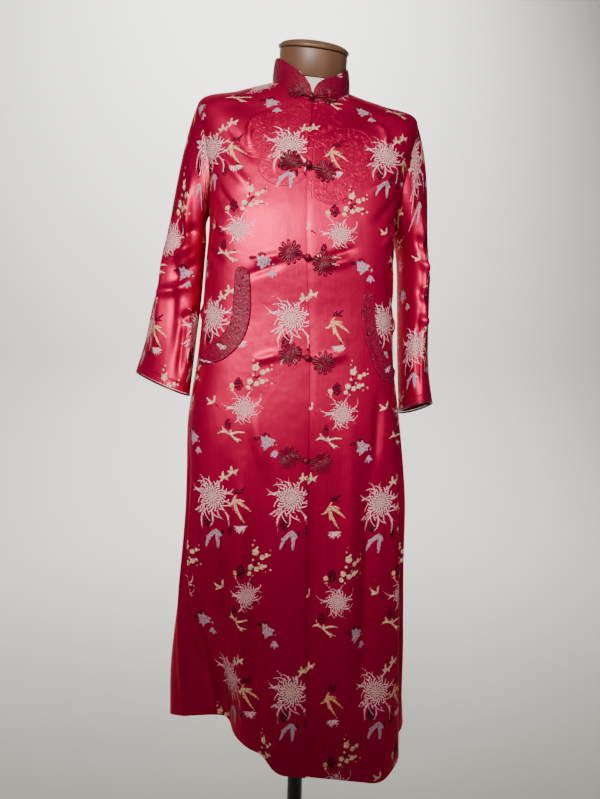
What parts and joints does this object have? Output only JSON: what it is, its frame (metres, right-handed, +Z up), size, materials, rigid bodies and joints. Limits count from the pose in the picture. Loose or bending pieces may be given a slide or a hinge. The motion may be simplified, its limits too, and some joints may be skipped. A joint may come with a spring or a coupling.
{
  "type": "long cheongsam coat on a limbless dress form with a pole stand",
  "caption": "Long front-opening mandarin-collared satin coat with frog closures, worn by a limbless dress form on a pole with a round base.",
  "frame": {"origin": "centre of the stand base's underside, on the floor, on the pole's axis", "axes": "+Z up along the pole, -Y out of the coat's front, +X towards the wearer's left"},
  "size_m": [0.5366, 0.333, 1.6053],
  "materials": {
    "brocade_satin": "crimson silk satin with a woven pattern of flowers, glossy",
    "quilted_satin": "the same satin, closely quilted",
    "frog_satin": "bias-cut satin cord and binding, darker crimson",
    "cream_jersey": "matt cream jersey over padding",
    "walnut": "dark turned wood with a satin varnish",
    "black_steel": "black enamel on steel"
  },
  "bodies": {
    "root": {"coat_front_right": "brocade_satin", "coat_front_left": "brocade_satin", "coat_back": "brocade_satin", "sleeve_right": "brocade_satin", "sleeve_left": "brocade_satin", "cuff_binding_right": "frog_satin", "cuff_binding_left": "frog_satin", "collar": "quilted_satin", "pocket_band_right": "quilted_satin", "pocket_band_left": "quilted_satin", "frog_collar_right": "frog_satin", "frog_collar_left": "frog_satin", "frog_chest_right": "frog_satin", "frog_chest_left": "frog_satin", "frog_waist_right": "frog_satin", "frog_waist_left": "frog_satin", "frog_hip_right": "frog_satin", "frog_hip_left": "frog_satin", "frog_thigh_right": "frog_satin", "frog_thigh_left": "frog_satin", "button_collar": "frog_satin", "button_chest": "frog_satin", "button_waist": "frog_satin", "button_hip": "frog_satin", "button_thigh": "frog_satin", "form_torso": "cream_jersey", "neck_block": "walnut", "neck_lid": "walnut", "stand_pole": "black_steel", "stand_base": "black_steel"}
  },
  "joints": []
}
